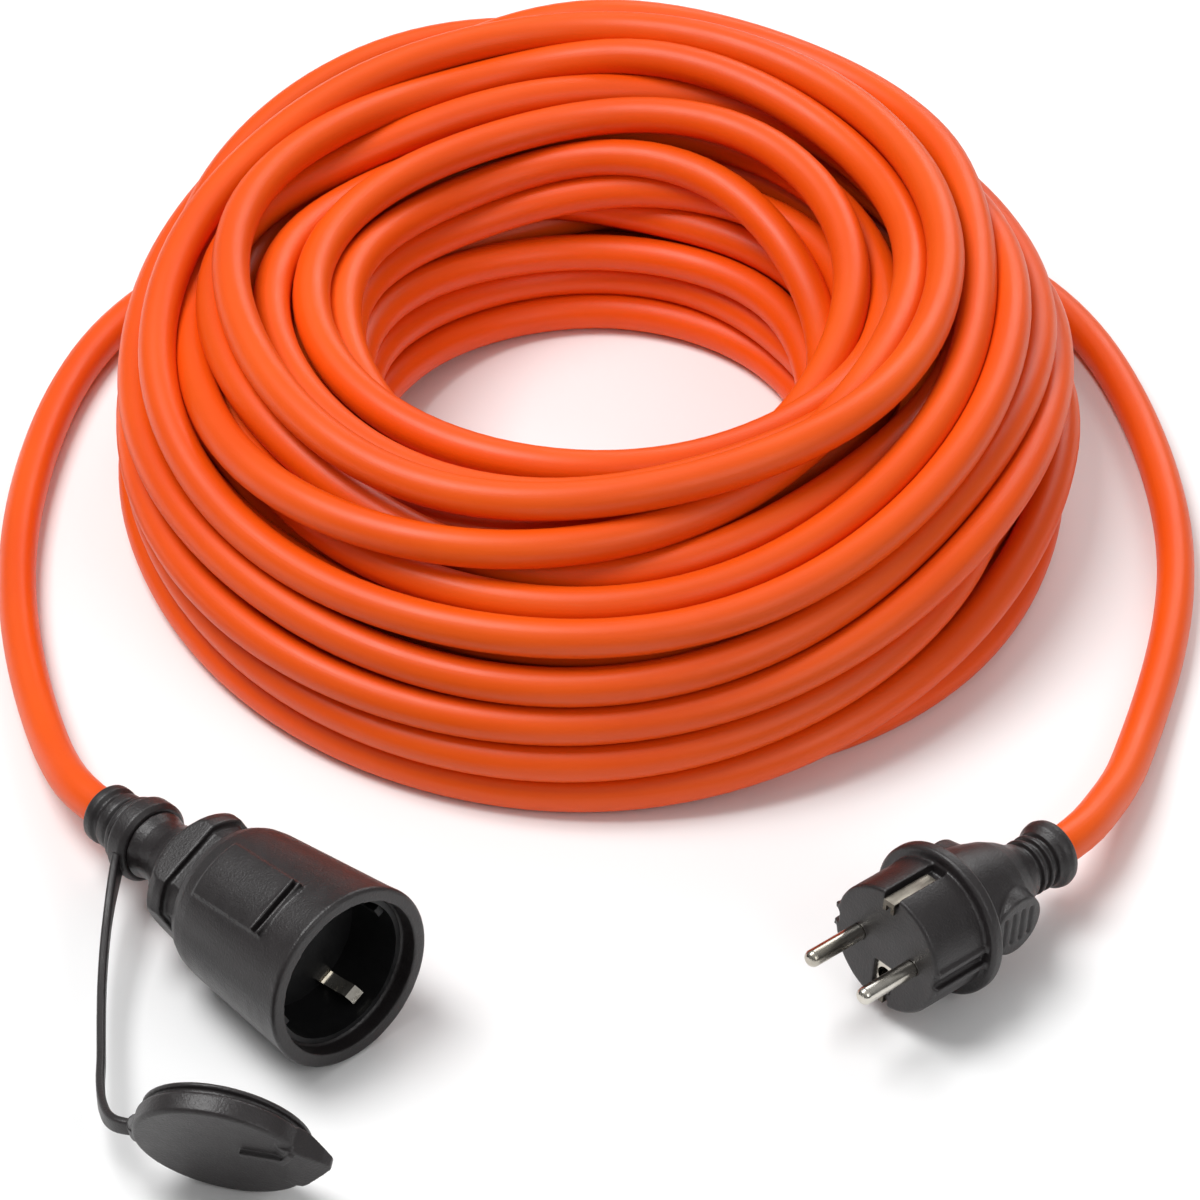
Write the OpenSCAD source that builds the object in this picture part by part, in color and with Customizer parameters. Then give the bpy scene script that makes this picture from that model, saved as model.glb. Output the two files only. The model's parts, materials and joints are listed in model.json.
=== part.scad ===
// Heavy-duty extension cord: a coiled round cable with an earthed two-pin plug at one end
// and an earthed splash-proof coupler with a captive sealing cap at the other.
// The coupler's mouth faces +X, the plug's pins point to -Y, and the floor is at z = 0.

/* [Cable] */
// outside diameter of the cable's sheath
cable_d = 11; // [10:0.1:11.4]
// outside diameter of one insulated core
core_d = 2.8; // [2:0.1:3.2]

/* [Coil] */
// outer radius of the coil at its widest
coil_outer_r = 150; // [140:1:150]
// radius of the clear hole at the floor
coil_inner_r = 63; // [50:1:70]
// height of the coil
coil_h = 82; // [60:1:90]

/* [Plug] */
// radius of the round face and barrel
plug_barrel_r = 18.4; // [17.8:0.1:19]
// length from the face to the flange
plug_barrel_l = 18.5; // [17.5:0.5:20]
// radius of the grip flange
plug_flange_r = 21.6; // [20.5:0.1:22.5]
// thickness of the grip flange
plug_flange_t = 4; // [3:0.5:5]
// overall length of the moulded body
plug_l = 65; // [63:1:70]
// diameter of the two line pins
pin_d = 4.8; // [4.6:0.1:5]
// distance between the two line pins
pin_pitch = 19; // [18.5:0.5:19.5]
// length of the line pins in front of the face
pin_l = 19; // [18:0.5:20]
// nose-up lie of the plug on the floor
plug_tilt = 5; // [0:1:8]

/* [Coupler] */
// outer radius of the mouth rim
mouth_r = 26; // [25:0.5:27]
// radius of the opening inside the rim
lip_r = 22; // [21.6:0.1:22.4]
// radius of the socket recess
recess_r = 19.8; // [19.5:0.1:20]
// depth of the socket recess below the rim
lip_l = 5; // [4:0.5:6]
// depth of the socket recess
recess_l = 17.5; // [17:0.5:18]
// radius of the body at the shoulder
shoulder_r = 22.2; // [21.8:0.1:23]
// overall length of the moulded body
coupler_l = 102; // [100:1:106]
// roll of the coupler about its own axis
coupler_roll = 25; // [0:5:45]

/* [Sealing cap] */
// radius of the cap's face
lid_r = 23; // [22.5:0.5:24]
// depth of the cap from face to back lip
lid_t = 9; // [8.5:0.5:10]
// width of the rubber strap
strap_w = 4.6; // [4:0.2:6]
// thickness of the rubber strap
strap_t = 2.2; // [1.6:0.2:3]
// forward lean of the cap from upright
lid_lean = 20; // [10:1:24]
// turn of the cap's face about the vertical
lid_turn = -56; // [-62:1:-50]

/* [Hidden] */
eps = 0.01;
cable_r = cable_d/2;
core_r = core_d/2;
pin_r = pin_d/2;
pin_y = pin_pitch/2;
shank_r = 2.1;

// Shift that brings the coupler and its cap to the middle of the frame.
shift = [-61.3, 197, 0];

// Where each piece lies before the shift.
coil_at = [-42, 35, 0];
mouth_at = [90, -172];
plug_at = [174.8, -61.4];
lid_at = [111.4, -234.1];

shoulder_x = -42;
seam_x = -49;
coupler_tilt = atan((mouth_r - shoulder_r)/-shoulder_x);
mouth_z = mouth_r*cos(coupler_tilt) + sin(coupler_tilt);
plug_z = (plug_barrel_l + plug_flange_t)*sin(plug_tilt) + plug_flange_r*cos(plug_tilt);
lid_z = lid_r*cos(lid_lean);
ear_at = [-4.9, -lid_r - 0.2];
ear_z = -4.5;
ear_r = 2.7;

// Lengthwise stations of the coupler, measured back from its mouth.
floor_x = -(lip_l + recess_l);
insert_back = floor_x - 6.5;
bridge_x = insert_back - 1;
sleeve_back = insert_back - 11;
coupler_chamber_back = -60;
ring_x = [-88, -81];
ring_r = 11.6;
neck_r = 9;

// Lengthwise stations of the plug, measured back from its face.
carrier_x = [-14, -2];
plug_chamber_back = -38;

// Hand-set points of the two uncoiled stretches, from the coil to each gland.
coupler_run = [
  [-172, 78, 20], [-184, 54, 13.4], [-192, 28, 8.6], [-196, 4, 6.1], [-193, -20, 5.6], [-185, -40, 5.6],
  [-172, -61, 5.6], [-157, -81, 5.6], [-140, -100, 5.6], [-122, -117, 5.6], [-103, -131, 5.6],
  [-83, -143.5, 5.8], [-62, -155, 7.2], [-41, -165, 10.6]];
plug_run = [
  [-112, 155, 20], [-90, 171, 13.4], [-66, 184, 8.6], [-42, 194, 6.1], [-18, 196.5, 5.6], [5, 193, 5.6],
  [28, 184, 5.6], [52, 171, 5.6], [74, 156.5, 5.6], [95, 140, 5.6], [113, 121.5, 5.6],
  [128.5, 101, 5.6], [141.5, 80, 5.8], [152.5, 62, 7.2], [162, 45, 9.8], [169, 28.5, 13.2]];
strap_run = [
  [6, -182, 16.6], [11, -187.5, 16], [22, -199, 13.6], [35, -211, 11.6], [47, -221, 11.4],
  [58, -229.8, 12], [66, -236.4, 13], [74, -241.7, 15], [80, -244.3, 17.1], [83, -244.6, 18.1],
  [85, -244.2, 18.7]];

orange = [0.90, 0.27, 0.06];
black = [0.10, 0.10, 0.11];
grey = [0.20, 0.20, 0.21];
nickel = [0.72, 0.71, 0.68];
brass = [0.78, 0.62, 0.32];
brown = [0.35, 0.18, 0.09];
blue = [0.10, 0.25, 0.65];
green = [0.45, 0.62, 0.12];

// ---- placing ----

// Local frame of the coupler: +x out of the mouth, z through the earth clips.
module coupler_place()
  translate(shift) translate([mouth_at.x, mouth_at.y, mouth_z])
    rotate([0, -coupler_tilt, 0]) rotate([coupler_roll, 0, 0]) children();

// Local frame of the plug: +x out of the face along the pins, z through the earth strips.
module plug_place()
  translate(shift) translate([plug_at.x, plug_at.y, plug_z])
    rotate([0, 0, -90]) rotate([0, -plug_tilt, 0]) children();

// Local frame of the lid: +x out of its flat face, +y towards the pull tab.
module lid_place()
  translate(shift) translate([lid_at.x, lid_at.y, lid_z])
    rotate([0, lid_lean, lid_turn]) children();

function coupler_point(x) = [mouth_at.x + x*cos(coupler_tilt), mouth_at.y, mouth_z + x*sin(coupler_tilt)];
function plug_point(x) = [plug_at.x, plug_at.y - x*cos(plug_tilt), plug_z + x*sin(plug_tilt)];

// ---- shape helpers ----

// Solid of revolution about x from [radius, x] points.
module turned(pts, fn = 72)
  rotate([0, 90, 0]) rotate_extrude($fn = fn) polygon([for (p = pts) [p[0], p[1]]]);

module bore_x(x0, x1, r, fn = 48)
  translate([x0, 0, 0]) rotate([0, 90, 0]) cylinder(h = x1 - x0, r = r, $fn = fn);

module cone_x(x0, x1, r0, r1, fn = 48)
  translate([x0, 0, 0]) rotate([0, 90, 0]) cylinder(h = x1 - x0, r1 = r0, r2 = r1, $fn = fn);

function unit(v) = v/norm(v);
function run_dir(run, i) = unit(run[min(i + 1, len(run) - 1)] - run[max(i - 1, 0)]);
function run_side(t) = unit(cross([0, 0, 1], t));

// Closed skin swept along run, with one outline point [side, up] per corner.
module swept(run, outline) {
  m = len(outline);
  n = len(run);
  pts = [for (i = [0:n - 1]) let (t = run_dir(run, i), s = run_side(t), u = cross(t, s))
    for (c = outline) run[i] + c[0]*s + c[1]*u];
  walls = [for (i = [0:n - 2]) for (j = [0:m - 1]) let (k = (j + 1) % m)
    [i*m + j, (i + 1)*m + j, (i + 1)*m + k, i*m + k]];
  polyhedron(pts,
    concat([[for (j = [0:m - 1]) j]], walls, [[for (j = [m - 1:-1:0]) (n - 1)*m + j]]));
}

function round_outline(r, n) = [for (j = [0:n - 1]) [r*cos(360*j/n), r*sin(360*j/n)]];

// ---- cable ----

module cable_coil() {
  color(orange) translate(shift + coil_at) rotate_extrude($fn = 96) polygon([
    [coil_inner_r + 4, 0], [coil_outer_r - 10, 0], [coil_outer_r - 3, 7], [coil_outer_r, 20],
    [coil_outer_r - 1, 42], [coil_outer_r - 8, coil_h - 18], [coil_outer_r - 22, coil_h - 6],
    [coil_outer_r - 42, coil_h], [coil_inner_r + 22, coil_h - 3], [coil_inner_r + 13, coil_h - 14],
    [coil_inner_r + 5, coil_h - 40], [coil_inner_r, 12]]);
}

module lead(run) {
  color(orange) translate(shift) swept(run, round_outline(cable_r, 12));
}

module cable_lead_coupler()
  lead(concat(coupler_run, [for (x = [-coupler_l - 10, -coupler_l, coupler_chamber_back]) coupler_point(x)]));

module cable_lead_plug()
  lead(concat(plug_run, [for (x = [-plug_l - 8, -plug_l, plug_chamber_back]) plug_point(x)]));

// ---- plug ----

module plug_shell() {
  flange_back = -plug_barrel_l - plug_flange_t;
  relief_back = -plug_l;
  groove = [for (i = [0:2]) relief_back + 6.2 + 3*i];
  color(black) plug_place() difference() {
    union() {
      turned(concat(
        [[0, 0], [0, relief_back]],
        [[8, relief_back], [9.2, relief_back + 0.7], [9.7, relief_back + 2.4], [9.3, relief_back + 4.2],
         [8.2, relief_back + 5.4]],
        [for (x = groove) each [[8, x], [6.5, x + 0.2], [6.5, x + 1.6], [8, x + 1.8]]],
        [[8.1, relief_back + 15], [9, relief_back + 17], [11, relief_back + 20], [12.9, relief_back + 24],
         [14.2, relief_back + 28.5], [15.4, relief_back + 34], [16.2, flange_back - 2], [17.2, flange_back],
         [plug_flange_r - 0.8, flange_back], [plug_flange_r, flange_back + 0.8],
         [plug_flange_r, -plug_barrel_l - 0.8], [plug_flange_r - 0.8, -plug_barrel_l],
         [plug_barrel_r, -plug_barrel_l], [plug_barrel_r, -0.6], [plug_barrel_r - 0.6, 0]]), 96);
      // guide ridges that run in the socket's grooves
      for (s = [-1, 1])
        translate([-plug_barrel_l, s*(plug_barrel_r - 0.9) - 1.5, -3.6]) cube([plug_barrel_l - 0.5, 3, 7.2]);
      // grip pads on both sides of the tapered body
      for (s = [-1, 1]) translate([-34, s*6, 0]) rotate([-90*s, 0, 0]) cylinder(h = 9.6, r1 = 10.4, r2 = 8.8, $fn = 48);
    }
    // guide grooves
    for (s = [-1, 1])
      translate([-plug_barrel_l - eps, s*(plug_barrel_r + 0.8) - 2, -1.8]) cube([plug_barrel_l + 1, 4, 3.6]);
    // finger grooves across the grip pads
    for (s = [-1, 1]) for (i = [-1.5:1:1.5])
      translate([-34.6 + 3.2*i, s*15.8 - 1, -5.4 + 0.6*abs(i)]) cube([1.2, 2, 10.8 - 1.2*abs(i)]);
    // slots for the two earth strips
    for (s = [-1, 1])
      translate([-plug_barrel_l + 0.5, -2.5, s*18 - (s > 0 ? 2.4 : 3)]) cube([plug_barrel_l + 1, 5, 5.4]);
    // seat of the contact carrier, the rear chamber and the cable
    bore_x(carrier_x[0], carrier_x[1], 13.5);
    bore_x(-24, carrier_x[0] + eps, 12.6);
    cone_x(plug_chamber_back, -24 + eps, cable_r, 12.6);
    bore_x(-plug_l - 1, plug_chamber_back + eps, cable_r);
    // pin holes, earth bridge and the window over the earth tube
    for (s = [-1, 1]) translate([0, s*pin_y, 0]) bore_x(carrier_x[1] - eps, 1, shank_r);
    translate([carrier_x[0] - 1.2, -1.9, -16.6]) cube([1.2, 3.8, 33.2]);
    translate([carrier_x[1] - eps, -3.2, -13.4]) cube([3, 6.4, 8.4]);
  }
}

module plug_carrier() {
  color(grey) plug_place() difference() {
    bore_x(carrier_x[0], carrier_x[1], 13.5);
    for (s = [-1, 1]) translate([0, s*pin_y, 0]) bore_x(carrier_x[0] - 1, carrier_x[1] + 1, shank_r);
    translate([0, 0, -9.3]) bore_x(carrier_x[0] - 1, carrier_x[1] + 1, 3.2);
  }
}

// Pin with a thinner shank in the body; the full diameter starts just clear of the face.
module plug_pin(s) {
  nose = 1.8;
  neck = 0.6;
  color(nickel) plug_place() translate([0, s*pin_y, 0])
    turned(concat([[0, -17], [1.6, -17], [1.6, carrier_x[0]], [shank_r, carrier_x[0]], [shank_r, neck], [pin_r, neck]],
      [for (a = [0:15:90]) [pin_r - nose + nose*cos(a), pin_l - nose + nose*sin(a)]], [[0, pin_l]]), 36);
}
module plug_pin_live() plug_pin(-1);
module plug_pin_neutral() plug_pin(1);

// One bent strip: both side contacts, the turned-in lips on the face and the bridge behind the carrier.
module plug_earth_bracket() {
  back = carrier_x[0] - 1.2;
  color(nickel) plug_place() difference() {
    union() {
      translate([back, -1.9, -16.6]) cube([1.2, 3.8, 33.2]);
      for (s = [-1, 1]) {
        translate([back, -1.9, s > 0 ? 15.6 : -16.6]) cube([0.8 - back, 3.8, 1]);
        translate([0, -1.9, s > 0 ? 13.2 : -16.6]) cube([0.8, 3.8, 3.4]);
      }
    }
    // notch in each turned-in lip
    for (s = [-1, 1]) translate([-1, -0.8, s > 0 ? 13 : -15]) cube([3, 1.6, 2]);
  }
}

// Tube and square collar that take the earth pin of a fixed socket.
module plug_earth_tube() {
  color(nickel) plug_place() translate([0, 0, -9.3]) difference() {
    union() {
      bore_x(carrier_x[0], carrier_x[1] + eps, 3.2);
      translate([carrier_x[1], -3.1, -3.9]) cube([0.9, 6.2, 7.9]);
    }
    bore_x(carrier_x[0] + 1.5, carrier_x[1] + 2, 2.45);
  }
}

module crimp(at) translate(at) difference() {
  bore_x(-6, 0, 2.1, 24);
  bore_x(-7, -3, core_r + 0.03, 24);
  bore_x(-3.5, 1, 1.6, 24);
}

// One core: a straight end in its crimp, then an easy bend to the cut end of the cable.
module core(from, to) {
  a = from + [-6.6, 0, 0];
  b = to + [2.5, 0, 0];
  ease = [for (k = [0.15, 0.5, 0.85]) [0, 1, 1]*(k*k*(3 - 2*k)) + [k, 0, 0]];
  swept(concat([from + [-3, 0, 0], a], [for (e = ease) [a.x + e[0]*(b.x - a.x), a.y + e[1]*(b.y - a.y),
    a.z + e[2]*(b.z - a.z)]], [b, to]), round_outline(core_r, 10));
}

module plug_crimp_live() color(brass) plug_place() crimp([carrier_x[0], -pin_y, 0]);
module plug_crimp_neutral() color(brass) plug_place() crimp([carrier_x[0], pin_y, 0]);
module plug_crimp_earth() color(brass) plug_place() crimp([carrier_x[0] - 1.2, 0, 7.5]);
module plug_core_live() color(brown) plug_place()
  core([carrier_x[0], -pin_y, 0], [plug_chamber_back, -2.2, -1.4]);
module plug_core_neutral() color(blue) plug_place()
  core([carrier_x[0], pin_y, 0], [plug_chamber_back, 2.2, -1.4]);
module plug_core_earth() color(green) plug_place()
  core([carrier_x[0] - 1.2, 0, 7.5], [plug_chamber_back, 0, 2.4]);

// ---- coupler ----

module coupler_shell() {
  back = -coupler_l;
  color(black) coupler_place() difference() {
    union() {
      turned([[0, 0], [0, back], [7.4, back], [8.5, back + 1.1], [8.5, back + 3.6], [7.3, back + 4.4],
        [7.3, back + 5.4], [8.3, back + 6.2], [8.3, back + 9], [7.4, back + 9.8], [7.4, back + 10.8],
        [neck_r + 1, ring_x[0] - 2.2], [neck_r + 1, ring_x[0] - 0.2], [neck_r, ring_x[0] - 0.2],
        [neck_r, ring_x[1] + 0.2], [neck_r + 0.8, ring_x[1] + 0.2], [neck_r + 0.6, ring_x[1] + 1.2],
        [8.8, -77.5], [9.2, -73], [11.6, -68], [15.2, -64]], 72);
      // squarish rear grip block
      intersection() {
        turned([[0, -76], [8.8, -76], [9.6, -72], [12.2, -67], [16.4, -63.2], [19, -60.4], [19.6, -58],
          [19.4, -55], [0, -55]], 72);
        translate([-80, -16.8, -16.8]) cube([30, 33.6, 33.6]);
      }
      // recessed band
      intersection() {
        bore_x(-55.5, seam_x + 0.5, 17.4, 72);
        translate([-60, -15, -15]) cube([20, 30, 30]);
      }
      // tapered barrel with flattened flanks towards the shoulder
      intersection() {
        turned([[0, seam_x], [19.6, seam_x], [20.4, seam_x + 0.7], [21.5, seam_x + 3.2], [shoulder_r, shoulder_x],
          [mouth_r - 0.5, -5], [mouth_r, -1], [mouth_r, -0.7], [mouth_r - 0.7, 0], [0, 0]], 96);
        translate([seam_x - 1, -50, -50]) cube([60, 100, 100]);
      }
      // raised panel on the upper side
      intersection() {
        turned([[0, -42], [22.6, -42], [23.1, -41.4], [25.1, -15], [25.1, -14], [0, -14]], 96);
        translate([-42, -8.7, 0]) cube([28, 17.4, 40]);
      }
      // two lips in front of the slot
      for (x = [-16.2, -13.6]) translate([x, -8.7, 18]) cube([0.9, 17.4, 7.5 - (x < -15 ? 0.1 : 0)]);
    }
    translate([-15.3, -8.2, 22.9]) cube([1.7, 16.4, 5]);
    // mouth, seat of the insert, rear chamber and the cable
    bore_x(-lip_l, 1, lip_r, 96);
    bore_x(insert_back, -lip_l + eps, recess_r + 1.4, 96);
    bore_x(-46, insert_back + eps, 13.4);
    cone_x(coupler_chamber_back, -46 + eps, cable_r, 13.4);
    bore_x(back - 1, coupler_chamber_back + eps, cable_r);
    translate([bridge_x, -2.6, -18.2]) cube([1.1, 5.2, 36.4]);
  }
}

module coupler_insert() {
  color(grey) coupler_place() difference() {
    union() {
      difference() {
        bore_x(insert_back, -lip_l, recess_r + 1.4, 96);
        bore_x(floor_x, 0, recess_r, 96);
      }
      // guide ribs beside the contacts
      for (s = [-1, 1])
        translate([floor_x - 1, s > 0 ? recess_r - 1.9 : -recess_r - 0.6, -1.5]) cube([recess_l - 1.5, 2.5, 3]);
    }
    for (s = [-1, 1]) translate([0, s*pin_y, 0]) {
      bore_x(insert_back - 1, floor_x + 1, pin_r + 0.35, 36);
      cone_x(floor_x - 1, floor_x + eps, pin_r + 0.35, pin_r + 1.3, 36);
    }
    // windows that the earth arms come through
    for (s = [-1, 1]) translate([insert_back - 1, -2.3, s > 0 ? 16.9 : -18.1]) cube([9, 4.6, 1.2]);
  }
}

module coupler_sleeve(s) {
  color(brass) coupler_place() translate([0, s*pin_y, 0]) difference() {
    bore_x(sleeve_back, insert_back, 3.5, 36);
    bore_x(sleeve_back + 1.5, insert_back + 1, pin_r, 36);
    translate([sleeve_back + 3, -0.4, -5]) cube([12, 0.8, 10]);
  }
}
module coupler_sleeve_live() coupler_sleeve(1);
module coupler_sleeve_neutral() coupler_sleeve(-1);

module coupler_earth_bridge() {
  color(nickel) coupler_place() union() {
    translate([bridge_x, -2.3, -18.1]) cube([1, 4.6, 36.2]);
    for (s = [-1, 1])
      translate([bridge_x, -2.3, s > 0 ? 16.9 : -18.1]) cube([floor_x - bridge_x + 1.2, 4.6, 1.2]);
  }
}

// Spring arm of the earth contact: leans in, bulges over the strip of a plug and flares out at its tip.
module earth_clip(s) {
  root = floor_x + 1.4;
  side = [[0, 17.9], [6, 16.9], [9.6, 15.5], [11.4, 15.3], [13, 16.2], [13.6, 17.3]];
  color(nickel) coupler_place() rotate([s > 0 ? 0 : 180, 0, 0]) translate([root, 2, 0]) rotate([90, 0, 0])
    linear_extrude(height = 4) polygon(concat(side, [for (i = [len(side) - 1:-1:0]) side[i] + [-0.25, 0.7]]));
}
module coupler_earth_clip_upper() earth_clip(1);
module coupler_earth_clip_lower() earth_clip(-1);

module coupler_crimp_live() color(brass) coupler_place() crimp([sleeve_back, pin_y, 0]);
module coupler_crimp_neutral() color(brass) coupler_place() crimp([sleeve_back, -pin_y, 0]);
module coupler_crimp_earth() color(brass) coupler_place() crimp([bridge_x, 0, 7.5]);
module coupler_core_live() color(brown) coupler_place()
  core([sleeve_back, pin_y, 0], [coupler_chamber_back, 2.2, -1.4]);
module coupler_core_neutral() color(blue) coupler_place()
  core([sleeve_back, -pin_y, 0], [coupler_chamber_back, -2.2, -1.4]);
module coupler_core_earth() color(green) coupler_place()
  core([bridge_x, 0, 7.5], [coupler_chamber_back, 0, 2.4]);

// ---- sealing cap ----

module cap_ring() {
  inner = neck_r + 0.05;
  color(black) coupler_place() turned([[inner, ring_x[0]], [ring_r - 1.2, ring_x[0]], [ring_r, ring_x[0] + 1.4],
    [ring_r, ring_x[1] - 1.4], [ring_r - 1.2, ring_x[1]], [inner, ring_x[1]]], 64);
}

module cap_strap() {
  w = strap_w/2;
  t = strap_t/2;
  color(black) translate(shift) swept(strap_run, [[t, -w], [t, w], [-t, w], [-t, -w]]);
}

module cap_lid() {
  color(black) lid_place() difference() {
    union() {
      turned([[0, 0], [0, -lid_t], [lid_r - 4, -lid_t], [lid_r - 1.4, -lid_t], [lid_r - 0.9, -lid_t + 0.5],
        [lid_r - 0.9, -lid_t + 1.3], [lid_r - 2, -lid_t + 1.6], [lid_r - 2, -lid_t + 3], [lid_r - 0.3, -lid_t + 3.2],
        [lid_r, -lid_t + 3.8], [lid_r, -0.8], [lid_r - 0.8, 0]], 96);
      // ear with a round end that the strap runs up to
      translate([ear_at.x - ear_r, ear_at.y, ear_z - 3.2]) cube([2*ear_r, 4, 6.4]);
      translate([ear_at.x, ear_at.y, ear_z - 3.2]) cylinder(h = 6.4, r = ear_r, $fn = 36);
      // pull tab: a blunt tongue beyond the rim, thinner towards its tip
      intersection() {
        rotate([90, 0, 90]) translate([0, 0, -6.2]) linear_extrude(height = 7.2)
          polygon([[lid_r - 7, -10.5], [lid_r - 2.4, -10.5], [lid_r + 3.6, -3.6], [lid_r + 5.6, -0.8],
            [lid_r + 5.6, 0.8], [lid_r + 3.6, 3.6], [lid_r - 2.4, 10.5], [lid_r - 7, 10.5]]);
        translate([0, 0, -11]) linear_extrude(height = 22)
          polygon([[-6.2, lid_r - 9], [-0.4, lid_r - 9], [0.9, lid_r - 5], [0.9, lid_r - 1], [-1, lid_r + 6],
            [-3.6, lid_r + 6], [-6.2, lid_r]]);
      }
      // thumb ridge on the face, bent towards the rim
      translate([-0.5, lid_r - 17, 3.4]) cube([2, 11, 1.6]);
      translate([-3, lid_r - 6.1, 3.4]) rotate([-28, 0, 0]) translate([0, -0.7, 0]) cube([4.9, 1.6, 7]);
    }
    // shallow hollow behind the face
    bore_x(-lid_t - 1, -lid_t + 3.6, lid_r - 6, 72);
  }
}

cable_coil();
cable_lead_coupler();
cable_lead_plug();
plug_shell();
plug_carrier();
plug_pin_live();
plug_pin_neutral();
plug_earth_bracket();
plug_earth_tube();
plug_crimp_live();
plug_crimp_neutral();
plug_crimp_earth();
plug_core_live();
plug_core_neutral();
plug_core_earth();
coupler_shell();
coupler_insert();
coupler_sleeve_live();
coupler_sleeve_neutral();
coupler_earth_bridge();
coupler_earth_clip_upper();
coupler_earth_clip_lower();
coupler_crimp_live();
coupler_crimp_neutral();
coupler_crimp_earth();
coupler_core_live();
coupler_core_neutral();
coupler_core_earth();
cap_ring();
cap_strap();
cap_lid();
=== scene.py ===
import json
import math

import bmesh
import bpy
import numpy as np
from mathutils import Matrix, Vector


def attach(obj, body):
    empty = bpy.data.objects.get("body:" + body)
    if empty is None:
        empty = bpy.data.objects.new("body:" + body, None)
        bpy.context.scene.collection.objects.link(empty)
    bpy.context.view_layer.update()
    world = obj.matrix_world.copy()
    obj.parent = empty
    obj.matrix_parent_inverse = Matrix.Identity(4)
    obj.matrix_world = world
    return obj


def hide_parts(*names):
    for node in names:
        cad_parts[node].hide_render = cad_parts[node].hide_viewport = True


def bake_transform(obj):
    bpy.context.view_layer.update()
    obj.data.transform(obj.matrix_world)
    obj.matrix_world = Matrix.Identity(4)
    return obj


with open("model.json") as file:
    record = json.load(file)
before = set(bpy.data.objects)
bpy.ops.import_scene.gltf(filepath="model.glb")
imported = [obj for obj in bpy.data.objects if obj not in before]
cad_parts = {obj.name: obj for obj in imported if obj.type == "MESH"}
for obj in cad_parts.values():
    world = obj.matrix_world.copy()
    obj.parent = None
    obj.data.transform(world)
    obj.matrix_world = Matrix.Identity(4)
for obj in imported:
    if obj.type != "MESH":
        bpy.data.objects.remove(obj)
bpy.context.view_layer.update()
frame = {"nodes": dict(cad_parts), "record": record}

MM = 0.001
SCENE = bpy.context.scene

# ---------------------------------------------------------------- camera

cam_data = bpy.data.cameras.new("camera")
cam_data.lens = 156
cam_data.sensor_width = 36
cam = bpy.data.objects.new("camera", cam_data)
SCENE.collection.objects.link(cam)
cam.location = (0.7791, -0.5867, 0.9642)
target = Vector((-0.0613, 0.1970, 0.0))
cam.rotation_mode = "QUATERNION"
cam.rotation_quaternion = (target - cam.location).to_track_quat("-Z", "Y")
SCENE.camera = cam

# ---------------------------------------------------------------- the cable's route

CABLE_D = 11.0
LOWEST = CABLE_D / 2 * MM + 0.00005  # centre line of a turn that lies on the floor, in metres
SHIFT = np.array([-61.3, 197.0, 0.0])
COIL_AT = np.array([-42, 35, 0.0]) + SHIFT

# The two uncoiled stretches, from the coil to each gland, as in the CAD.
COUPLER_RUN = [
    (-172, 78, 20), (-184, 54, 13.4), (-192, 28, 8.6), (-196, 4, 6.1), (-193, -20, 5.6), (-185, -40, 5.6),
    (-172, -61, 5.6), (-157, -81, 5.6), (-140, -100, 5.6), (-122, -117, 5.6), (-103, -131, 5.6),
    (-83, -143.5, 5.8), (-62, -155, 7.2), (-41, -165, 10.6)]
PLUG_RUN = [
    (-112, 155, 20), (-90, 171, 13.4), (-66, 184, 8.6), (-42, 194, 6.1), (-18, 196.5, 5.6), (5, 193, 5.6),
    (28, 184, 5.6), (52, 171, 5.6), (74, 156.5, 5.6), (95, 140, 5.6), (113, 121.5, 5.6),
    (128.5, 101, 5.6), (141.5, 80, 5.8), (152.5, 62, 7.2), (162, 45, 9.8), (169, 28.5, 13.2)]

C_TILT = math.atan((26 - 22.2) / 42)
C_ORIGIN = np.array([90, -172, 26 * math.cos(C_TILT) + math.sin(C_TILT)])
P_TILT = math.radians(5)
P_ORIGIN = np.array([174.8, -61.4, 22.5 * math.sin(P_TILT) + 21.6 * math.cos(P_TILT)])


def coupler_point(x):
    """A point on the coupler's axis, x from its mouth."""
    return C_ORIGIN + x * np.array([math.cos(C_TILT), 0, math.sin(C_TILT)])


def plug_point(x):
    """A point on the plug's axis, x from its face."""
    return P_ORIGIN + x * np.array([0, -math.cos(P_TILT), math.sin(P_TILT)])


COUPLER_END = [coupler_point(x) for x in (-112, -102, -80)]
PLUG_END = [plug_point(x) for x in (-73, -65, -46)]

# The coil is a little oval, longer away from the camera, and its top leans that way.
OVAL_TURN = math.radians(47)
RIGHT = np.array([math.cos(OVAL_TURN), math.sin(OVAL_TURN)])
AWAY = np.array([-RIGHT[1], RIGHT[0]])
OVAL_RIGHT, OVAL_AWAY, LEAN = 0.955, 1.055, 0.16
MIDDLE = COIL_AT[:2] + 1.5 * RIGHT + 5 * AWAY
LEAVES_Z = 20


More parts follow.
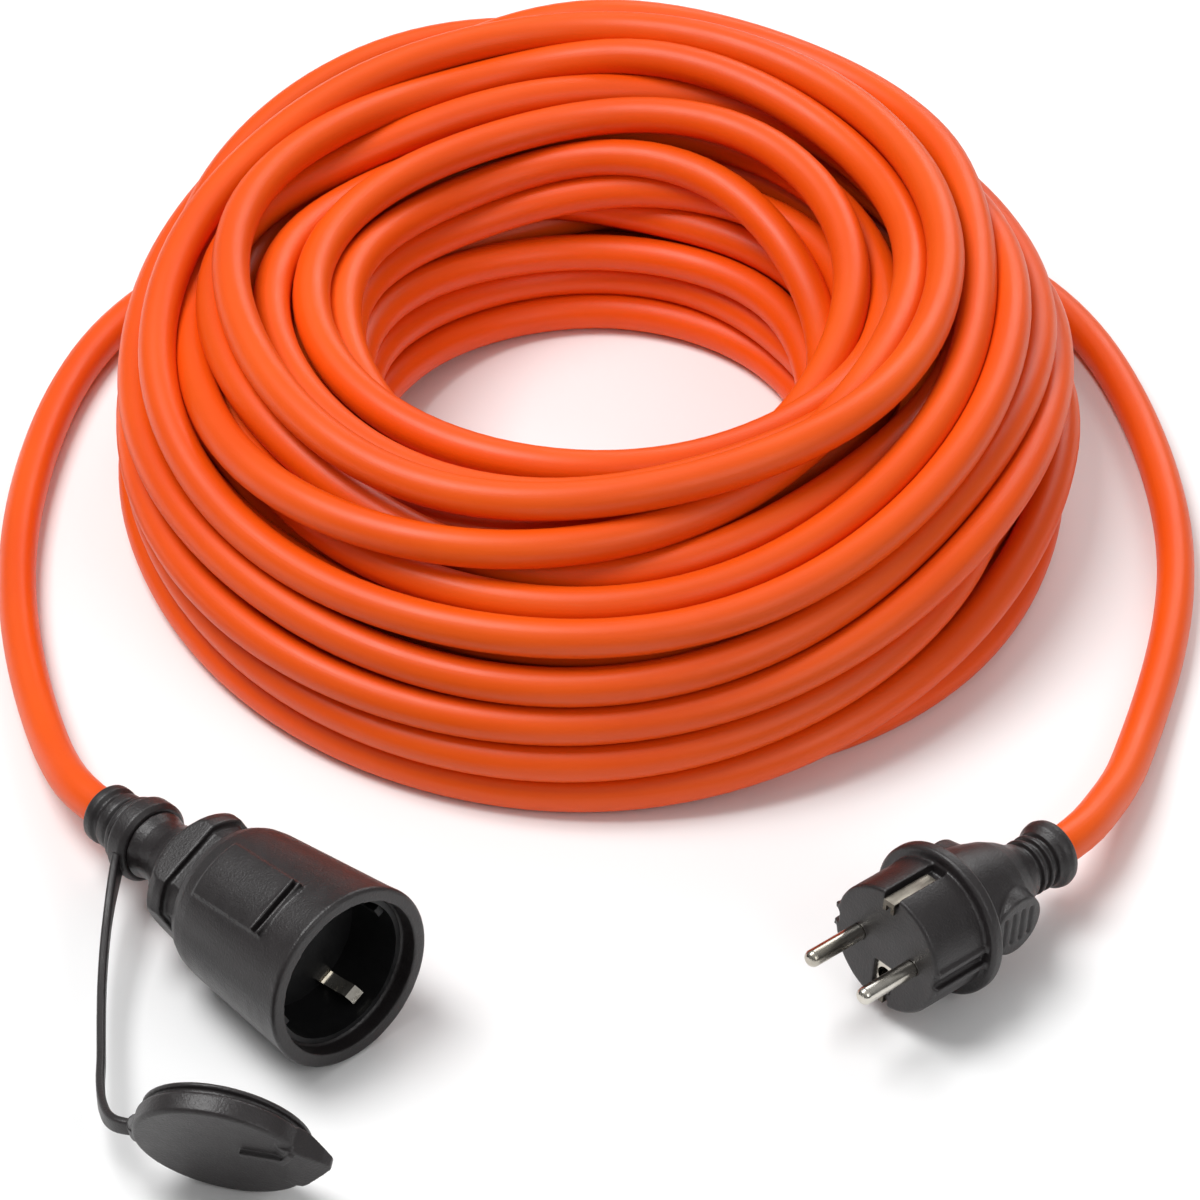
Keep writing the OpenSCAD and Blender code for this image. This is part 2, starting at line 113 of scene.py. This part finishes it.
def fair_line(points, step):
    """Points every step along a smooth curve through the given ones."""
    p = np.asarray(points)
    leg = np.linalg.norm(np.diff(p, axis=0), axis=1)
    slope = np.diff(p, axis=0) / leg[:, None]
    tangent = np.vstack([slope[:1], (slope[:-1] * leg[1:, None] + slope[1:] * leg[:-1, None])
                         / (leg[:-1] + leg[1:])[:, None], slope[-1:]])
    t = np.linspace(0, 1, 9)[:-1][:, None]
    h = [2 * t**3 - 3 * t**2 + 1, t**3 - 2 * t**2 + t, 3 * t**2 - 2 * t**3, t**3 - t**2]
    fine = [h[0] * p[i] + h[1] * leg[i] * tangent[i] + h[2] * p[i + 1] + h[3] * leg[i] * tangent[i + 1]
            for i in range(len(leg))]
    fine = np.vstack(fine + [p[-1:]])
    run = np.r_[0, np.cumsum(np.linalg.norm(np.diff(fine, axis=0), axis=1))]
    even = np.linspace(0, run[-1], int(round(run[-1] / step)) + 1)
    return np.c_[[np.interp(even, run, fine[:, c]) for c in range(3)]].T, even


def into_round(p):
    """Radius, angle and height in the round coil of points of the oval one."""
    p = np.atleast_2d(p)
    q = p[:, :2] + SHIFT[:2] - MIDDLE
    u, v = q @ RIGHT / OVAL_RIGHT, (q @ AWAY - LEAN * (p[:, 2] - LEAVES_Z)) / OVAL_AWAY
    w = np.outer(u, RIGHT) + np.outer(v, AWAY)
    return np.hypot(w[:, 0], w[:, 1]), np.unwrap(np.arctan2(w[:, 1], w[:, 0])), p[:, 2]


def ease(t):
    """A smooth step from 0 to 1."""
    t = np.clip(t, 0, 1)
    return t * t * (3 - 2 * t)


# The settling in stages: each row is the share of the steps by which a stage ends, and its value.
FALL = ((0.6, 0.45), (0.85, 0.15), (1, 0.03))  # mm that a turn falls in a step
HOLD = ((0.5, 0.03), (1, 0.006))  # share of the way back to its wanted radius in a step
PUSHES = ((0.85, 3), (1, 6))  # times in a step that touching turns push each other apart
LOOSE_UNTIL, TOP_FROM = 0.9, 0.55  # inner turns keep extra room until, and the top's outline holds from

# Outline of the coil's section: clear hole, outer side and top, in mm of height and radius.
HOLE_Z, HOLE_R = (5.5, 20, 40, 55, 66, 76), (71, 69.5, 71, 74, 78, 86)
SIDE_Z, SIDE_R = (5.5, 9, 20, 35, 48, 60, 68, 73, 76), (139, 141, 143, 142.5, 140, 134, 126, 117, 106)
TOP_R, TOP_Z = (70, 78, 86, 106, 117, 126, 134, 140, 144), (60, 67, 76, 76, 73, 68, 60, 48, 30)


def stage(t, rows):
    """The value of the stage that t is in."""
    return next(value for until, value in rows if t < until)


def settle_coil(turns=36, per=60, seed=1, steps=800, loose=3.0, stiff=0.12):
    """Points of the coil from the plug's end to the coupler's. The cable is cut by upright slices through the
    coil's axis. In each slice its turns are discs that fall and push each other apart inside the coil's
    outline, and along the cable a bending term keeps the line fair."""
    d = CABLE_D
    rng = np.random.default_rng(seed)
    leads = [into_round(fair_line(run[:9], 2)[0]) for run in (PLUG_RUN, COUPLER_RUN)]
    (r_first, start), (r_last, end) = [(lead[0][0], lead[1][0]) for lead in leads]
    n = int(round((turns + (end - start) / (2 * math.pi)) * per)) + 1
    th = start + np.linspace(0, 1, n) * (2 * math.pi * turns + end - start)
    k = (th - start) / (2 * math.pi)
    # The first turns go up the inner half of the coil, and the rest come down its outer half. They start
    # stretched out to a height well over the coil's own, and fall from there.
    lap = np.arange(turns + 3)
    crest, height = 16, 250.0
    # Each lap has its own wanted radius, which swings in and out across its half of the coil.
    inner = 74 + 24 * np.abs(((crest - lap) / 2.6 + 0.2) % 2 - 1)
    outer = 114 + 24 * np.abs(((lap - crest) / 3.4 + 0.8) % 2 - 1)
    base = np.where(lap <= crest, inner, outer) + 3 * rng.uniform(-1, 1, len(lap))
    base = np.where(lap <= crest, np.clip(base, 73, 99), np.clip(base, 113, 138))
    base[-3:] = 137
    want = np.interp(k, lap, base)
    # No lap is a true circle: it lies off the middle and is a little oval, each by its own amount.
    for size, waves in ((4.0, 1), (2.0, 2)):
        much = rng.uniform(0.2, 1, len(lap)) * size
        phase = rng.uniform(0, 2 * math.pi, len(lap))
        want += np.interp(k, lap, much * np.cos(phase)) * np.cos(waves * th)
        want += np.interp(k, lap, much * np.sin(phase)) * np.sin(waves * th)
    want = np.clip(want, 72, 139)
    # Height at the start: up to the crest and down again, and eased into both leads, in degrees from each end.
    left, gone = (k[-1] - k) * 360, k * 360
    z = np.where(k < crest, 5.5 + height / crest * k, 20 + (height - 15) / (k[-1] - crest) * (k[-1] - k))
    z = np.where(k < crest / 2, z + 14.5 * (1 - ease(gone / 50)),
                 z + np.where(left < 360, 11 * ease(left / 45), 11) * (k > crest))
    want = np.where(k < 2, r_first + (want - r_first) * ease(gone / 330), want)
    r = want.copy()
    # The leads carry on past both ends as fixed turns, so that the others lie clear of them.
    more = 12
    turn = (th[1] - th[0]) * np.arange(1, more + 1)
    before = [np.interp(turn[::-1], start - leads[0][1], v) for v in (leads[0][0], leads[0][2])]
    after = [np.interp(turn, leads[1][1] - end, v) for v in (leads[1][0], leads[1][2])]
    pins = np.r_[0:more + 3, n + more - 3:n + 2 * more]
    pin_r = np.r_[before[0], r_first, r_first - 0.3, r_first - 0.8, r_last - 0.8, r_last - 0.3, r_last, after[0]]
    pin_z = np.r_[before[1], 20, 19.8, 19.2, 20.8, 20.2, 20, after[1]]
    r, z, want = [np.r_[[v[0]] * more, v, [v[-1]] * more] for v in (r, z, want)]
    n += 2 * more
    at = np.arange(n) % per
    slices = [np.flatnonzero(at == m) for m in range(per)]
    most = max(len(s) for s in slices)
    index = np.full((per, most), -1)
    for m, s in enumerate(slices):
        index[m, :len(s)] = s
    real = index >= 0
    iu, ju = np.triu_indices(most, 1)
    both = real[:, iu] & real[:, ju]
    one, two = index[:, iu][both], index[:, ju][both]
    for step in range(steps):
        t = step / steps
        r, z = np.round(r, 6), np.round(z, 6)  # so that every machine settles it the same
        z -= stage(t, FALL)
        r += stage(t, HOLD) * (want - r)
        for v in (r, z):
            for _ in range(3):
                second = np.zeros_like(v)
                second[1:-1] = v[:-2] - 2 * v[1:-1] + v[2:]
                v[2:-2] -= stiff * (second[1:-3] - 2 * second[2:-2] + second[3:-1])
        own = np.full(n, d)
        if t < LOOSE_UNTIL:  # turns inside the coil lie more loosely than those on its skin
            depth = np.minimum(np.minimum(np.interp(r, TOP_R, TOP_Z) - z, r - np.interp(z, HOLE_Z, HOLE_R)),
                               np.interp(z, SIDE_Z, SIDE_R) - r)
            own += loose * np.clip((depth - 6) / 8, 0, 1)
        for _ in range(stage(t, PUSHES)):
            r[pins], z[pins] = pin_r, pin_z
            dr, dz = r[two] - r[one], z[two] - z[one]
            need = 0.5 * (own[one] + own[two])
            gap = dr * dr + dz * dz
            hit = gap < need * need
            i, j, dist = one[hit], two[hit], np.sqrt(gap[hit]) + 1e-9
            push = 0.3 * (need[hit] - dist) / dist
            for v, part in ((r, dr[hit] * push), (z, dz[hit] * push)):
                np.add.at(v, j, part)
                np.add.at(v, i, -part)
            np.maximum(z, d / 2, out=z)
            # turns still above the coil have more room outwards
            np.clip(r, np.interp(z, HOLE_Z, HOLE_R), np.interp(z, SIDE_Z, SIDE_R) + (z > SIDE_Z[-1]) * 30, out=r)
            if t > TOP_FROM:
                z -= 0.25 * np.maximum(z - np.interp(r, TOP_R, TOP_Z), 0)
    r, z = r[more:-more], z[more:-more]
    w = np.c_[r * np.cos(th), r * np.sin(th)]
    flat = np.outer(w @ RIGHT * OVAL_RIGHT, RIGHT) + np.outer(w @ AWAY * OVAL_AWAY + LEAN * (z - LEAVES_Z), AWAY)
    return np.c_[flat + MIDDLE, z]


def ease_bends(line, least, floor):
    """The same line with its tightest bends opened out to about least, and none of it below floor."""
    p = np.array(line)
    for _ in range(240):
        a, b, c = p[:-4], p[2:-2], p[4:]
        sides = [np.linalg.norm(q, axis=1) for q in (b - a, c - b, c - a)]
        area = np.linalg.norm(np.cross(b - a, c - b), axis=1) / 2
        tight = np.clip((1.15 * least - sides[0] * sides[1] * sides[2] / (4 * area + 1e-15)) / (0.3 * least), 0, 1)
        tight = np.r_[0, tight, 0]
        for _ in range(3):
            tight = np.maximum(tight, 0.8 * np.maximum(np.r_[tight[1:], 0], np.r_[0, tight[:-1]]))
        tight[:2] = tight[-2:] = 0
        p[1:-1] += 0.3 * tight[:, None] * (p[:-2] - 2 * p[1:-1] + p[2:])
        p[:, 2] = np.maximum(p[:, 2], floor)
    return p


def near_pairs(p, reach, apart):
    """Pairs of points closer than reach that lie at least apart places from each other along the line."""
    found = []
    for i in range(len(p) - apart):
        j = np.arange(i + apart, len(p))
        j = j[np.abs(p[j, 2] - p[i, 2]) < reach]
        j = j[((p[j] - p[i]) ** 2).sum(1) < reach * reach]
        found.append(np.c_[np.full(len(j), i), j])
    return np.vstack(found).T


def part_turns(line, width, floor, rounds, ends=14):
    """The same line with its turns pushed out of each other. Where two of them run right through each other,
    one is carried over the other. Both ends stay where they are."""
    reach, apart = 2.3 * width, 9  # pairs of points that may come to touch
    deep, around = 0.8 * width, 14  # a gap this small is a crossing, and so are the points around it
    touch = 0.985 * width
    p = np.array(line)
    i, j = near_pairs(p, reach, apart)
    gap = np.linalg.norm(p[j] - p[i], axis=1)
    crossing = np.zeros(len(i), bool)
    for q in np.flatnonzero(gap < deep):
        crossing |= (np.abs(i - i[q]) < around) & (np.abs(j - j[q]) < around)
    free = np.ones(len(p))
    free[:ends] = free[-ends:] = 0
    free = np.convolve(free, np.ones(9) / 9, "same")
    free[:ends] = free[-ends:] = 0
    for _ in range(rounds):
        v = p[j] - p[i]
        gap = np.linalg.norm(v, axis=1) + 1e-12
        hit = (gap < touch) & ~crossing
        push = (0.5 * (touch - gap[hit]) / gap[hit])[:, None] * v[hit]
        move, hits = np.zeros_like(p), np.zeros(len(p))
        for end, part in ((j[hit], push), (i[hit], -push)):
            np.add.at(move, end, part)
            np.add.at(hits, end, 1)
        flat = (v[crossing, :2] ** 2).sum(1)
        lack = np.where(flat < width * width, np.sqrt(np.maximum(width * width - flat, 0)) + v[crossing, 2], 0)
        lift, drop = np.zeros(len(p)), np.zeros(len(p))
        np.maximum.at(lift, i[crossing], lack)
        np.maximum.at(drop, j[crossing], lack)
        p += 0.6 * free[:, None] * move / np.maximum(hits, 1)[:, None]
        p[:, 2] += free * (0.25 * lift - 0.15 * drop)
        for _ in range(2):
            second, fourth = np.zeros_like(p), np.zeros_like(p)
            second[1:-1] = p[:-2] - 2 * p[1:-1] + p[2:]
            fourth[2:-2] = second[1:-3] - 2 * second[2:-2] + second[3:-1]
            p -= 0.08 * free[:, None] * fourth
        p[:, 2] = np.maximum(p[:, 2], floor)
        p = np.round(p, 9)  # so that every machine settles it the same
    return p


def tube(name, line, along, radius, sides=16):
    """A closed tube round a line, with (length along, turn round) in metres as its UV map."""
    line = np.asarray(line)
    t = np.gradient(line, axis=0)
    t /= np.linalg.norm(t, axis=1)[:, None]
    side = np.cross(t[0], (0, 0, 1.0))
    sides_of = []
    for d in t:
        side = side - d * (side @ d)
        side /= np.linalg.norm(side)
        sides_of.append(side)
    u = np.array(sides_of)
    v = np.cross(t, u)
    turn = np.arange(sides) / sides * 2 * math.pi
    ring = radius * (np.cos(turn)[None, :, None] * u[:, None] + np.sin(turn)[None, :, None] * v[:, None])
    verts = (line[:, None] + ring).reshape(-1, 3)
    n = len(line)
    faces = [(i * sides + j, i * sides + (j + 1) % sides, (i + 1) * sides + (j + 1) % sides, (i + 1) * sides + j)
             for i in range(n - 1) for j in range(sides)]
    faces += [tuple(range(sides))[::-1], tuple((n - 1) * sides + j for j in range(sides))]
    mesh = bpy.data.meshes.new(name)
    mesh.from_pydata(verts.tolist(), [], faces)
    mesh.shade_smooth()
    uv = mesh.uv_layers.new(name="run").data
    spots = [(along[i + a], (j + b) / sides * 2 * math.pi * radius)
             for i in range(n - 1) for j in range(sides) for a, b in ((0, 0), (0, 1), (1, 1), (1, 0))]
    spots += [(along[0], 0)] * sides + [(along[-1], 0)] * sides
    uv.foreach_set("uv", np.array(spots, dtype=np.float32).ravel())
    return mesh


coil = settle_coil()
coupler_lead = [np.array(p) + SHIFT for p in COUPLER_RUN + COUPLER_END]
plug_lead = [np.array(p) + SHIFT for p in PLUG_RUN + PLUG_END]
route, along = fair_line(np.vstack([coupler_lead[:0:-1], coil[::-2][:-1], coil[:1], plug_lead[1:]]) * MM, 6 * MM)
route = ease_bends(route, 48 * MM, LOWEST)
for rounds in (260, 60, 60, 60, 60):
    route = part_turns(route, CABLE_D * MM, LOWEST, rounds)
    route = ease_bends(route, 52 * MM, LOWEST)
cable = bpy.data.objects.new("cable", tube("cable", route, along, CABLE_D / 2 * MM))
SCENE.collection.objects.link(cable)
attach(cable, "cord")
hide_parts("cable_coil", "cable_lead_coupler", "cable_lead_plug")

# ---------------------------------------------------------------- moulded rubber


def moulded(name, nodes, body, voxel, rounds):
    """One soft-edged moulding made from copies of CAD nodes: remeshed, smoothed and thinned out."""
    bm = bmesh.new()
    for node in nodes:
        bm.from_mesh(frame["nodes"][node].data)
    mesh = bpy.data.meshes.new(name)
    bm.to_mesh(mesh)
    bm.free()
    obj = bpy.data.objects.new(name, mesh)
    SCENE.collection.objects.link(obj)
    weld = obj.modifiers.new("weld", "WELD")
    weld.merge_threshold = 0.00001
    remesh = obj.modifiers.new("remesh", "REMESH")
    remesh.mode = "VOXEL"
    remesh.voxel_size = voxel
    soft = obj.modifiers.new("soft", "SMOOTH")
    soft.factor = 0.5
    soft.iterations = rounds
    thin = obj.modifiers.new("thin", "DECIMATE")
    thin.ratio = 0.35
    done = bpy.data.meshes.new_from_object(obj.evaluated_get(bpy.context.evaluated_depsgraph_get()))
    obj.modifiers.clear()
    obj.data = done
    done.name = name
    done.shade_smooth()
    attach(obj, body)
    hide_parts(*nodes)
    return obj


coupler_body = moulded("coupler_moulding", ["coupler_shell"], "cord", 0.4 * MM, 4)
plug_body = moulded("plug_moulding", ["plug_shell"], "cord", 0.35 * MM, 4)
ring = moulded("cap_collar", ["cap_ring"], "cap_strap", 0.3 * MM, 4)
lid = moulded("cap_moulding", ["cap_lid"], "cap_lid", 0.35 * MM, 4)

# The strap: a flat rounded ribbon from the collar to the ear, bending where it meets the lid.
STRAP_RUN = [
    (6, -182, 16.6), (11, -187.5, 16), (22, -199, 13.6), (35, -211, 11.6), (47, -221, 11.4),
    (58, -229.8, 12), (66, -236.4, 13), (74, -241.7, 15), (80, -244.3, 17.1), (83, -244.6, 18.1),
    (85, -244.2, 18.7)]


def ribbon(name, line, wide, thick, corners=6):
    """A strap with rounded edges along a line, standing on edge with its flat faces to the sides."""
    line = np.asarray(line)
    t = np.gradient(line, axis=0)
    t /= np.linalg.norm(t, axis=1)[:, None]
    s = np.cross((0, 0, 1.0), t)
    s /= np.linalg.norm(s, axis=1)[:, None]
    u = np.cross(t, s)
    r = thick * 0.36
    outline = []
    for q, (cx, cy) in enumerate(((1, 1), (-1, 1), (-1, -1), (1, -1))):
        for c in range(corners):
            a = (q + c / (corners - 1)) * math.pi / 2
            outline.append((cx * (thick / 2 - r) + r * math.cos(a), cy, r * math.sin(a)))
    # each point of the outline is across, then up as a share of the width, then up in metres
    o = np.array(outline)
    up = o[None, :, 1] * (np.asarray(wide)[:, None] / 2 - r) + o[None, :, 2]
    verts = (line[:, None] + o[None, :, :1] * s[:, None] + up[:, :, None] * u[:, None]).reshape(-1, 3)
    n, m = len(line), len(o)
    faces = [(i * m + j, i * m + (j + 1) % m, (i + 1) * m + (j + 1) % m, (i + 1) * m + j)
             for i in range(n - 1) for j in range(m)]
    faces += [tuple(range(m))[::-1], tuple((n - 1) * m + j for j in range(m))]
    mesh = bpy.data.meshes.new(name)
    mesh.from_pydata(verts.tolist(), [], faces)
    mesh.shade_smooth()
    obj = bpy.data.objects.new(name, mesh)
    SCENE.collection.objects.link(obj)
    return obj


hinge = np.array([88.7309, -241.98, 19.0602])  # where the cap's ear bends, as the joint cap_lid_flex
strap_line, gone = fair_line((np.array(STRAP_RUN + [tuple(hinge)]) + SHIFT) * MM, 1.5 * MM)
strap_wide, strap_flare, strap_thick = 4.8, 4.4, 2.3  # the strap is wider by the flare at the collar
strap = ribbon("strap", strap_line, (strap_wide + strap_flare * (1 - ease(gone / 0.024))) * MM, strap_thick * MM)
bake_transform(strap)
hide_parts("cap_strap")

# ---------------------------------------------------------------- materials


def nodes_of(name):
    """A new material, its node tree and its shader."""
    m = bpy.data.materials.new(name)
    m.use_nodes = True
    t = m.node_tree
    return m, t, t.nodes["Principled BSDF"]


def noise(t, where, scale, detail=4, rough=0.5, stretch=None):
    """Noise over the given coordinates, or over the same ones stretched."""
    n = t.nodes.new("ShaderNodeTexNoise")
    n.inputs["Scale"].default_value = scale
    n.inputs["Detail"].default_value = detail
    n.inputs["Roughness"].default_value = rough
    if stretch:
        m = t.nodes.new("ShaderNodeMapping")
        m.inputs["Scale"].default_value = stretch
        t.links.new(where, m.inputs["Vector"])
        where = m.outputs["Vector"]
    t.links.new(where, n.inputs["Vector"])
    return n.outputs["Fac"]


def ramp(t, fac, *stops):
    """Colour that follows a factor through the given stops."""
    r = t.nodes.new("ShaderNodeValToRGB")
    e = r.color_ramp.elements
    while len(e) < len(stops):
        e.new(0.5)
    for item, (at, colour) in zip(e, stops):
        item.position = at
        item.color = (*colour, 1)
    t.links.new(fac, r.inputs["Fac"])
    return r.outputs["Color"]


def spread(t, fac, lo, hi, low, high):
    """The range lo to hi of a factor, spread over low to high."""
    m = t.nodes.new("ShaderNodeMapRange")
    for key, value in (("From Min", lo), ("From Max", hi), ("To Min", low), ("To Max", high)):
        m.inputs[key].default_value = value
    t.links.new(fac, m.inputs["Value"])
    return m.outputs["Result"]


def mix(t, fac, one, two):
    """Two colours mixed by a factor."""
    m = t.nodes.new("ShaderNodeMix")
    m.data_type = "RGBA"
    t.links.new(fac, m.inputs["Factor"])
    t.links.new(one, m.inputs["A"])
    t.links.new(two, m.inputs["B"])
    return m.outputs["Result"]


def bump(t, height, strength, distance, under=None):
    """Surface relief, on top of another one if it is given."""
    b = t.nodes.new("ShaderNodeBump")
    b.inputs["Strength"].default_value = strength
    b.inputs["Distance"].default_value = distance
    t.links.new(height, b.inputs["Height"])
    if under:
        t.links.new(under, b.inputs["Normal"])
    return b.outputs["Normal"]


def sheath():
    """Orange sheath: cloudy pigment, faint long draw marks, dusty scuffs and an eggshell skin."""
    m, t, b = nodes_of("orange_sheath")
    co = t.nodes.new("ShaderNodeTexCoord")
    uv = t.nodes.new("ShaderNodeUVMap")
    uv.uv_map = "run"
    cloud = noise(t, co.outputs["Object"], 14, 5)
    body = ramp(t, cloud, (0.25, (0.74, 0.070, 0.0010)), (0.5, (0.79, 0.083, 0.0013)), (0.75, (0.82, 0.097, 0.0020)))
    draw = noise(t, uv.outputs["UV"], 1, 4, 0.6, (9, 900, 1))
    scuff = noise(t, uv.outputs["UV"], 1, 6, 0.7, (38, 160, 1))
    pale = ramp(t, cloud, (0, (0.77, 0.17, 0.035)), (1, (0.74, 0.14, 0.025)))
    worn = spread(t, scuff, 0.66, 0.86, 0, 0.55)
    t.links.new(mix(t, worn, body, pale), b.inputs["Base Color"])
    t.links.new(spread(t, scuff, 0.3, 0.75, 0.36, 0.50), b.inputs["Roughness"])
    b.inputs["Specular IOR Level"].default_value = 0.34
    skin = noise(t, co.outputs["Object"], 1600, 3)
    low = bump(t, draw, 0.10, 0.0005)
    t.links.new(bump(t, skin, 0.07, 0.0003, low), b.inputs["Normal"])
    return m


def rubber(name, colour, grain, rough, depth):
    """Moulded black: spark-eroded grain, faint cloudiness and greyer, smoother worn edges."""
    m, t, b = nodes_of(name)
    co = t.nodes.new("ShaderNodeTexCoord")
    geo = t.nodes.new("ShaderNodeNewGeometry")
    cloud = noise(t, co.outputs["Object"], 60, 5)
    body = ramp(t, cloud, (0.3, tuple(c * 0.75 for c in colour)), (0.7, tuple(c * 1.15 for c in colour)))
    worn_colour = ramp(t, cloud, (0, tuple(c * 2.4 + 0.004 for c in colour)), (1, tuple(c * 1.9 for c in colour)))
    rub = noise(t, co.outputs["Object"], 240, 4, 0.65)
    edge = spread(t, geo.outputs["Pointiness"], 0.52, 0.62, 0, 1)
    patch = spread(t, rub, 0.4, 0.65, 0.1, 0.8)
    both = t.nodes.new("ShaderNodeMath")
    both.operation = "MULTIPLY"
    t.links.new(edge, both.inputs[0])
    t.links.new(patch, both.inputs[1])
    t.links.new(mix(t, both.outputs["Value"], body, worn_colour), b.inputs["Base Color"])
    t.links.new(spread(t, rub, 0.3, 0.7, rough * 0.88, rough * 1.12), b.inputs["Roughness"])
    b.inputs["Specular IOR Level"].default_value = 0.5
    fine = noise(t, co.outputs["Object"], grain, 3, 0.6)
    broad = noise(t, co.outputs["Object"], 90, 2)
    low = bump(t, broad, 0.08, 0.0008)
    t.links.new(bump(t, fine, depth, 0.0004, low), b.inputs["Normal"])
    return m


def metal(name, colour, dull, rough, stretch):
    """Plated or bare metal: fine drawn scratches, dull patches and small nicks."""
    m, t, b = nodes_of(name)
    b.inputs["Metallic"].default_value = 1.0
    co = t.nodes.new("ShaderNodeTexCoord")
    patch = noise(t, co.outputs["Object"], 130, 5, 0.6)
    t.links.new(ramp(t, patch, (0.35, dull), (0.6, colour)), b.inputs["Base Color"])
    line = noise(t, co.outputs["Object"], 1, 4, 0.6, stretch)
    t.links.new(spread(t, line, 0.25, 0.75, rough * 0.7, rough * 1.5), b.inputs["Roughness"])
    nick = noise(t, co.outputs["Object"], 700, 3)
    low = bump(t, line, 0.10, 0.0002)
    t.links.new(bump(t, nick, 0.04, 0.0003, low), b.inputs["Normal"])
    return m


def insulation(name, colour):
    """Satin plastic of a wire's core, with a faintly cloudy colour."""
    m, t, b = nodes_of(name)
    co = t.nodes.new("ShaderNodeTexCoord")
    cloud = noise(t, co.outputs["Object"], 180, 4)
    t.links.new(ramp(t, cloud, (0.3, tuple(c * 0.8 for c in colour)), (0.7, colour)), b.inputs["Base Color"])
    t.links.new(spread(t, cloud, 0.3, 0.7, 0.35, 0.5), b.inputs["Roughness"])
    t.links.new(bump(t, noise(t, co.outputs["Object"], 900, 3), 0.1, 0.0002), b.inputs["Normal"])
    return m


MATS = {
    "orange_sheath": sheath(),
    "black_rubber": rubber("black_rubber", (0.017, 0.0140, 0.0145), 1500, 0.40, 0.35),
    "black_plastic": rubber("black_plastic", (0.006, 0.006, 0.0065), 2200, 0.48, 0.15),
    "grey_plastic": rubber("grey_plastic", (0.012, 0.012, 0.013), 2200, 0.45, 0.15),
    "nickel": metal("nickel", (0.66, 0.63, 0.57), (0.44, 0.41, 0.35), 0.20, (700, 90, 700)),
    # a darker nickel: painted shade for the plug's earth bracket, which lies down in its slot
    "shaded_nickel": metal("shaded_nickel", (0.17, 0.155, 0.13), (0.11, 0.095, 0.08), 0.30, (700, 90, 700)),
    "brass": metal("brass", (0.76, 0.56, 0.26), (0.50, 0.33, 0.13), 0.30, (300, 300, 300)),
    "brown_core": insulation("brown_core", (0.10, 0.03, 0.01)),
    "blue_core": insulation("blue_core", (0.01, 0.05, 0.4)),
    "green_core": insulation("green_core", (0.2, 0.4, 0.02)),
}
cable.data.materials.append(MATS["orange_sheath"])
for obj in (coupler_body, plug_body, ring, lid, strap):
    obj.data.materials.clear()
    obj.data.materials.append(MATS["black_rubber"])
for part in frame["record"]["subparts"]:
    data = frame["nodes"][part["node"]].data
    data.materials.clear()
    # the plug's earth bracket gets the darker nickel, painted shade of the slot it lies in
    data.materials.append(MATS["shaded_nickel" if part["node"] == "plug_earth_bracket" else part["material_slot"]])

# ---------------------------------------------------------------- floor and light

floor_mesh = bpy.data.meshes.new("floor")
bm = bmesh.new()
bmesh.ops.create_grid(bm, x_segments=1, y_segments=1, size=6)
bm.to_mesh(floor_mesh)
bm.free()
floor = bpy.data.objects.new("floor", floor_mesh)
SCENE.collection.objects.link(floor)
floor.location = (0, 0, -0.0002)
fm = bpy.data.materials.new("floor")
fm.use_nodes = True
fm.node_tree.nodes["Principled BSDF"].inputs["Base Color"].default_value = (0.9, 0.9, 0.9, 1)
fm.node_tree.nodes["Principled BSDF"].inputs["Roughness"].default_value = 0.9
floor_mesh.materials.append(fm)

world = bpy.data.worlds.new("world")
SCENE.world = world
world.use_nodes = True
w = world.node_tree
where = w.nodes.new("ShaderNodeTexCoord")
split = w.nodes.new("ShaderNodeSeparateXYZ")
w.links.new(where.outputs["Generated"], split.inputs["Vector"])
w.links.new(spread(w, split.outputs["Z"], 0.0, 0.8, 0.06, 0.44), w.nodes["Background"].inputs["Strength"])
w.nodes["Background"].inputs["Color"].default_value = (1, 1, 1, 1)


def area(name, at, size, power, look=(-0.06, 0.15, 0.02)):
    """A square soft light at a place, looking at the middle of the coil."""
    data = bpy.data.lights.new(name, "AREA")
    data.size = size
    data.energy = power
    lamp = bpy.data.objects.new(name, data)
    SCENE.collection.objects.link(lamp)
    lamp.location = at
    lamp.rotation_mode = "QUATERNION"
    lamp.rotation_quaternion = (Vector(look) - Vector(at)).to_track_quat("-Z", "Y")


area("key", (-0.55, -0.25, 1.6), 0.9, 25)
area("fill", (1.3, 0.2, 0.9), 0.8, 5)
area("back", (-0.7, 1.6, 1.0), 0.9, 9)
SCENE.view_settings.view_transform = "Standard"

# ---------------------------------------------------------------- last update of the scene

bpy.context.view_layer.update()
